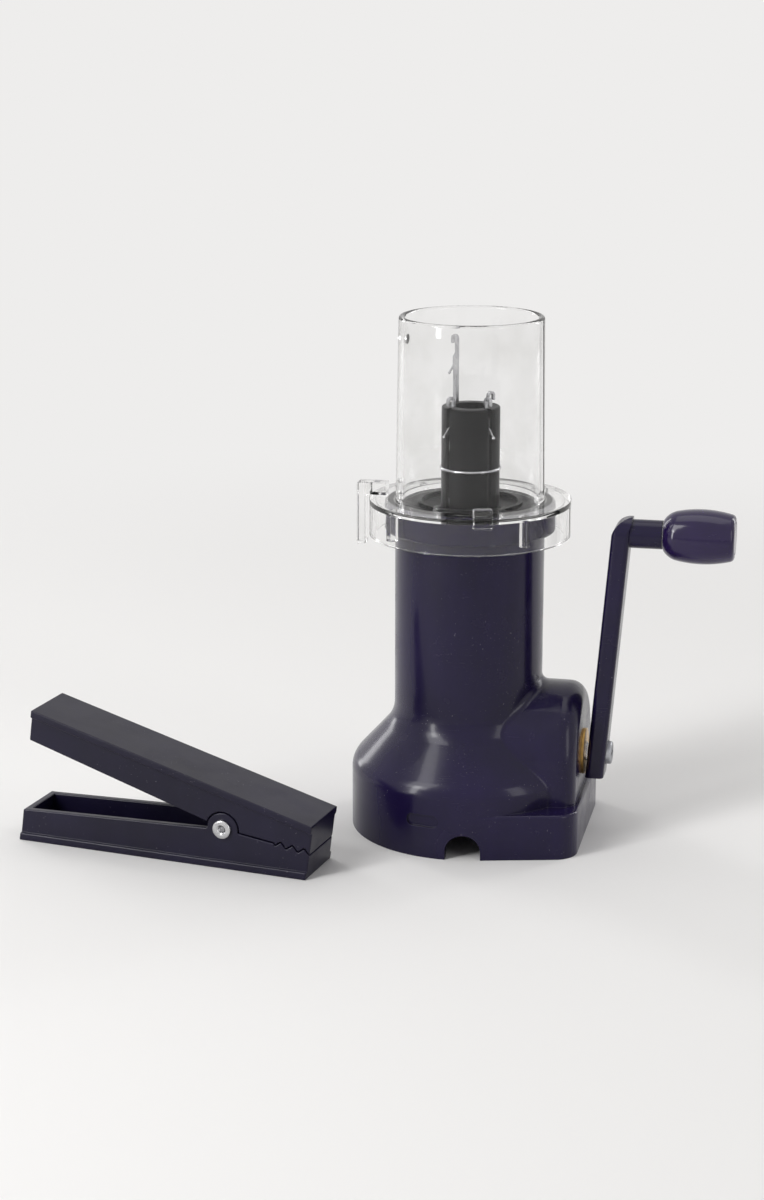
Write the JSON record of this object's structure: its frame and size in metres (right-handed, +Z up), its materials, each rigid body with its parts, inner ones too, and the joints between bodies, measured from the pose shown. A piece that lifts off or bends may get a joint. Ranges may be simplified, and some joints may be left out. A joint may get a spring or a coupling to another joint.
{
  "type": "i-cord maker",
  "caption": "Hand-cranked knitting mill for i-cord: clear yarn guard over latch needles on a geared cylinder, flared base, side crank with knob, and a spring weight clip beside it.",
  "frame": {"origin": "the knitting axis, where the cord leaves the mill, at the level of the table", "axes": "+Z up along the needle cylinder, +X toward the crank, -Y to the front where the cord's notch is"},
  "size_m": [0.1796, 0.0828, 0.135],
  "materials": {
    "mill_plastic": "deep violet moulded plastic, glossy",
    "knob_plastic": "deep violet moulded plastic, high gloss",
    "clip_plastic": "very dark violet moulded plastic, satin gloss",
    "clear_plastic": "clear moulded styrene",
    "black_plastic": "black moulded plastic, fine grain",
    "gear_plastic": "natural acetal",
    "bushing_brass": "turned brass",
    "screw_steel": "zinc-plated steel",
    "bright_steel": "polished nickel-plated steel"
  },
  "bodies": {
    "base": {"housing": "mill_plastic", "bottom_cover": "mill_plastic", "base_screws": "screw_steel", "shaft_bushing": "bushing_brass", "cam_sleeve": "gear_plastic", "top_cap": "black_plastic"},
    "rotor": {"needle_cylinder": "black_plastic", "crown_gear": "gear_plastic", "needle_ring": "bright_steel"},
    "crank": {"crank_shaft": "bright_steel", "drive_pinion": "gear_plastic", "thrust_washer": "screw_steel", "crank_arm": "mill_plastic", "crank_screw": "screw_steel", "knob_axle": "bright_steel"},
    "knob_grip": {"knob": "knob_plastic", "knob_cap": "knob_plastic"},
    "cover": {"clear_cover": "clear_plastic"},
    "clip": {"clip_lower_arm": "clip_plastic", "clip_pin": "bright_steel", "clip_spring_lower": "bright_steel"},
    "clip_lever": {"clip_upper_arm": "clip_plastic", "clip_spring_upper": "bright_steel"},
    "needle_1_body": {"needle_1": "bright_steel"},
    "latch_1_body": {"latch_1": "bright_steel"},
    "needle_2_body": {"needle_2": "bright_steel"},
    "latch_2_body": {"latch_2": "bright_steel"},
    "needle_3_body": {"needle_3": "bright_steel"},
    "latch_3_body": {"latch_3": "bright_steel"},
    "needle_4_body": {"needle_4": "bright_steel"},
    "latch_4_body": {"latch_4": "bright_steel"}
  },
  "joints": [
    {"name": "crank_turn", "type": "hinge", "parent": "base", "child": "crank", "pos_m": [0.0308, 0, 0.0215], "axis": [1, 0, 0], "continuous": true},
    {"name": "cylinder_turn", "type": "hinge", "parent": "base", "child": "rotor", "pos_m": [0, 0, 0.06], "axis": [0, 0, 1], "continuous": true},
    {"name": "knob_spin", "type": "hinge", "parent": "crank", "child": "knob_grip", "pos_m": [0.0589, 0, 0.0805], "axis": [1, 0, 0], "continuous": true},
    {"name": "cover_lift", "type": "slide", "parent": "base", "child": "cover", "axis": [0, 0, 1], "range_m": [0, 0.055]},
    {"name": "clip_lift", "type": "slide", "parent": "base", "child": "clip", "axis": [0, 0, 1], "range_m": [0, 0.08]},
    {"name": "clip_squeeze", "type": "hinge", "parent": "clip", "child": "clip_lever", "pos_m": [-0.053, -0.04, 0.01037], "axis": [0.1564, 0.9877, 0], "range_deg": [-18, 0], "stiffness_Nm_per_rad": 0.02, "springref_deg": 22.92},
    {"name": "needle_1_lift", "type": "slide", "parent": "rotor", "child": "needle_1_body", "axis": [0, 0, 1], "range_m": [-0.0145, 0]},
    {"name": "latch_1_flip", "type": "hinge", "parent": "needle_1_body", "child": "latch_1_body", "pos_m": [-0.00479, 0.00402, 0.1223], "axis": [-0.6428, -0.766, 0], "range_deg": [-125, 0]},
    {"name": "needle_2_lift", "type": "slide", "parent": "rotor", "child": "needle_2_body", "axis": [0, 0, 1], "range_m": [0, 0.0145]},
    {"name": "latch_2_flip", "type": "hinge", "parent": "needle_2_body", "child": "latch_2_body", "pos_m": [-0.00402, -0.00479, 0.1078], "axis": [0.766, -0.6428, 0], "range_deg": [-125, 0]},
    {"name": "needle_3_lift", "type": "slide", "parent": "rotor", "child": "needle_3_body", "axis": [0, 0, 1], "range_m": [0, 0.0145]},
    {"name": "latch_3_flip", "type": "hinge", "parent": "needle_3_body", "child": "latch_3_body", "pos_m": [0.00479, -0.00402, 0.1078], "axis": [0.6428, 0.766, 0], "range_deg": [-125, 0]},
    {"name": "needle_4_lift", "type": "slide", "parent": "rotor", "child": "needle_4_body", "axis": [0, 0, 1], "range_m": [0, 0.0145]},
    {"name": "latch_4_flip", "type": "hinge", "parent": "needle_4_body", "child": "latch_4_body", "pos_m": [0.00402, 0.00479, 0.1078], "axis": [-0.766, 0.6428, 0], "range_deg": [-125, 0]}
  ],
  "couplings": [
    {"joint": "cylinder_turn", "follows": "crank_turn", "ratio": -0.66667}
  ]
}
